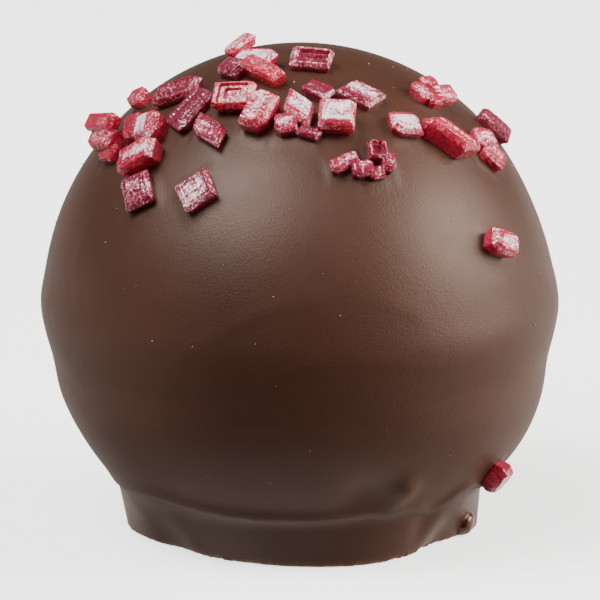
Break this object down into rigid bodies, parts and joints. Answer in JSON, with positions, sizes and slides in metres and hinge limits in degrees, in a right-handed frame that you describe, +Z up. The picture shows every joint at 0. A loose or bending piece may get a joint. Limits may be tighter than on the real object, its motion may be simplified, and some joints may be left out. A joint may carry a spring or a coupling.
{
  "type": "chocolate truffle",
  "caption": "Round dark chocolate truffle on a short pooled foot, its crown strewn with ruby red candied sugar crystals.",
  "frame": {"origin": "centre of the flat underside of the foot, on the surface that the truffle stands on", "axes": "+Z up through the ball's centre; -Y towards the side that carries most of the crystals"},
  "size_m": [0.03, 0.0299, 0.0292],
  "materials": {
    "dark_chocolate": "satin dark chocolate coating",
    "sugar_crystal": "frosted translucent ruby red sugar"
  },
  "bodies": {
    "root": {"truffle": "dark_chocolate"}
  },
  "joints": []
}
